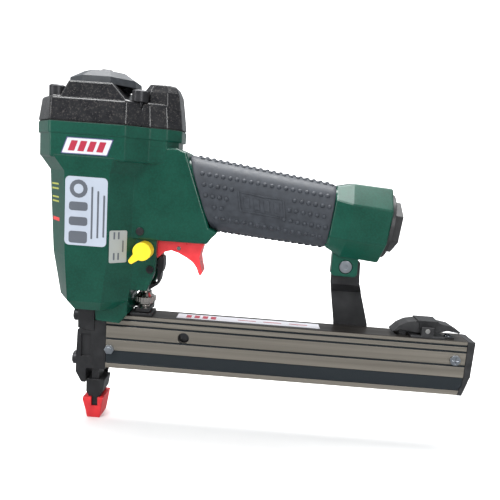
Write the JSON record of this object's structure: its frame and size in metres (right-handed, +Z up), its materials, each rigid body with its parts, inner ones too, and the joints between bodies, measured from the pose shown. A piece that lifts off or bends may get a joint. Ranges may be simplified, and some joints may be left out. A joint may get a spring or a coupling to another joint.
{
  "type": "pneumatic flooring nailer",
  "caption": "Hand-held pneumatic flooring nailer: hollow cast body with rubber grip, cap and exhaust hood, trigger with mode selector, contact safety, and straight drawer magazine.",
  "frame": {"origin": "centre of the nose tip's contact face, on the driver axis", "axes": "+Z up along the driver axis, +X back towards the handle end and magazine, +Y to the far side (magazine bracket screws)"},
  "size_m": [0.2836, 0.0564, 0.2266],
  "materials": {
    "green_paint": "hammered green enamel on a die-cast alloy body",
    "black_paint": "black enamel with fine sparkle on a die-cast alloy cap",
    "gasket": "fibre gasket, matte",
    "black_oxide": "black oxide",
    "slate_plastic": "moulded, satin",
    "bare_steel": "ground steel",
    "nickel_steel": "nickel plated",
    "zinc_steel": "zinc plated",
    "cast_aluminium": "machined",
    "black_rubber": "moulded",
    "spring_steel": "spring wire",
    "brass_parts": "turned",
    "red_plastic": "moulded",
    "red_boot": "soft moulded",
    "yellow_plastic": "moulded",
    "grip_rubber": "bumped rubber",
    "black_plastic": "moulded",
    "black_steel": "black finish",
    "anodised_magazine": "warm grey anodised",
    "rail_steel": "rolled steel"
  },
  "bodies": {
    "tool": {"housing": "green_paint", "cap": "black_paint", "cap_gasket": "gasket", "cap_screws": "black_oxide", "deflector_screw": "black_oxide", "cylinder": "bare_steel", "cylinder_seals": "black_rubber", "bumper": "black_rubber", "valve_body": "brass_parts", "valve_seal": "black_rubber", "valve_spring": "spring_steel", "housing_pins": "black_oxide", "grip_sleeve": "grip_rubber", "handle_plug": "black_plastic", "inlet_seal": "black_rubber", "rear_bracket": "black_steel", "bracket_screw": "zinc_steel", "bracket_magazine_screws": "black_oxide", "magazine": "anodised_magazine", "front_screw": "zinc_steel", "cross_screw": "zinc_steel", "latch_base": "black_plastic", "latch_pin": "bare_steel", "latch_screw": "zinc_steel", "nose_block": "black_steel", "nose_front_plate": "black_steel", "nose_rear_plate": "black_steel", "nose_screws": "black_oxide", "lower_guide": "black_plastic", "head_valve_spring": "spring_steel", "safety_spring": "spring_steel"},
    "deflector": {"exhaust_deflector": "slate_plastic"},
    "head_valve": {"head_valve": "cast_aluminium", "head_valve_seals": "black_rubber"},
    "piston": {"piston": "cast_aluminium", "piston_ring": "black_rubber", "driver_blade": "bare_steel", "blade_pin": "bare_steel"},
    "trigger": {"trigger": "red_plastic", "trigger_pin": "bare_steel"},
    "paddle": {"trigger_paddle": "black_steel"},
    "selector": {"mode_selector": "yellow_plastic"},
    "valve_stem": {"valve_stem": "brass_parts"},
    "safety": {"safety_foot": "black_steel", "no_mar_tip": "red_boot", "safety_link": "black_steel", "safety_rod": "nickel_steel", "safety_arm": "black_steel"},
    "depth_wheel": {"depth_wheel": "nickel_steel"},
    "drawer": {"rail": "rail_steel", "drawer_end_cap": "black_plastic"},
    "pusher": {"pusher": "rail_steel", "pusher_spring": "spring_steel"},
    "latch": {"latch": "black_plastic", "latch_clip": "black_steel"}
  },
  "joints": [
    {"name": "trigger_pull", "type": "hinge", "parent": "tool", "child": "trigger", "pos_m": [0.0317, 0, 0.1175], "axis": [0, -1, 0], "range_deg": [0, 12], "stiffness_Nm_per_rad": 0.3, "springref_deg": -17.19},
    {"name": "paddle_swing", "type": "hinge", "parent": "trigger", "child": "paddle", "pos_m": [0.0517, 0, 0.1188], "axis": [0, 1, 0], "range_deg": [0, 8], "stiffness_Nm_per_rad": 0.02, "springref_deg": -17.19},
    {"name": "valve_lift", "type": "slide", "parent": "tool", "child": "valve_stem", "axis": [0, 0, 1], "range_m": [0, 0.00305], "deforming": ["valve_spring"]},
    {"name": "mode_select", "type": "hinge", "parent": "tool", "child": "selector", "pos_m": [0.0317, 0, 0.1175], "axis": [0, 1, 0], "range_deg": [0, 88]},
    {"name": "safety_press", "type": "slide", "parent": "tool", "child": "safety", "axis": [0, 0, 1], "range_m": [0, 0.007], "stiffness_N_per_m": 600, "springref_m": -0.01, "deforming": ["safety_spring"]},
    {"name": "depth_wheel_turn", "type": "hinge", "parent": "safety", "child": "depth_wheel", "pos_m": [0.0298, 0, 0.0835], "axis": [0, 0, 1], "continuous": true},
    {"name": "piston_stroke", "type": "slide", "parent": "tool", "child": "piston", "axis": [0, 0, -1], "range_m": [0, 0.064]},
    {"name": "head_valve_lift", "type": "slide", "parent": "tool", "child": "head_valve", "axis": [0, 0, 1], "range_m": [0, 0.003], "stiffness_N_per_m": 1200, "springref_m": -0.004, "deforming": ["head_valve_spring"]},
    {"name": "deflector_turn", "type": "hinge", "parent": "tool", "child": "deflector", "pos_m": [0, 0, 0.218], "axis": [0, 0, 1], "continuous": true},
    {"name": "drawer_slide", "type": "slide", "parent": "tool", "child": "drawer", "axis": [1, 0, 0], "range_m": [0, 0.15]},
    {"name": "pusher_slide", "type": "slide", "parent": "drawer", "child": "pusher", "axis": [1, 0, 0], "range_m": [0, 0.165], "stiffness_N_per_m": 15, "springref_m": -0.2},
    {"name": "latch_press", "type": "hinge", "parent": "tool", "child": "latch", "pos_m": [0.2145, 0, 0.0772], "axis": [0, 1, 0], "range_deg": [0, 8], "stiffness_Nm_per_rad": 0.4, "springref_deg": -17.19}
  ],
  "couplings": [
    {"joint": "valve_lift", "follows": "trigger_pull", "m_per_rad": 0.0143}
  ]
}
